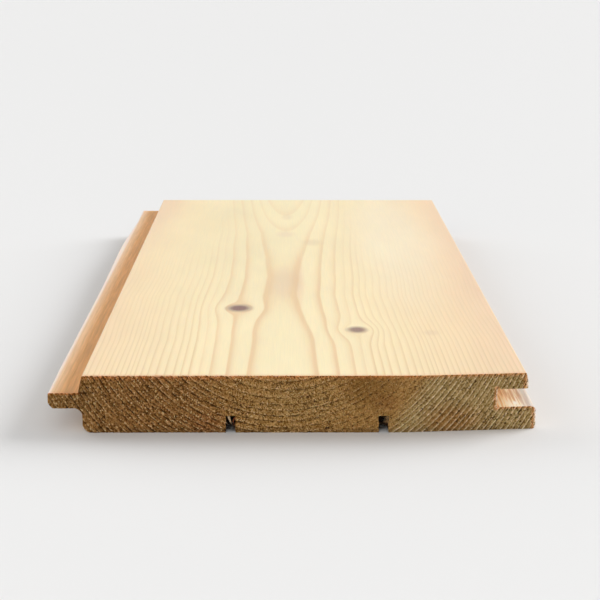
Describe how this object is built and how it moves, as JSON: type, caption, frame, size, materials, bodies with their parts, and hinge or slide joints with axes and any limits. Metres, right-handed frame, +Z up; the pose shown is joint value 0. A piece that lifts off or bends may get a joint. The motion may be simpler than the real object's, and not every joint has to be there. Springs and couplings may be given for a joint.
{
  "type": "tongue and groove board",
  "caption": "Short length of planed softwood board with a tongue along one edge, a groove along the other and relief kerfs underneath.",
  "frame": {"origin": "middle of the board's footprint, on its underside", "axes": "+X across the board from the tongue to the groove, +Y along the grain from the rough sawn front end to the square rear end, +Z up through the show face"},
  "size_m": [0.1484, 0.3, 0.018],
  "materials": {
    "planed_softwood": "planed and bare, with a rough sawn front end"
  },
  "bodies": {
    "root": {"board": "planed_softwood"}
  },
  "joints": []
}
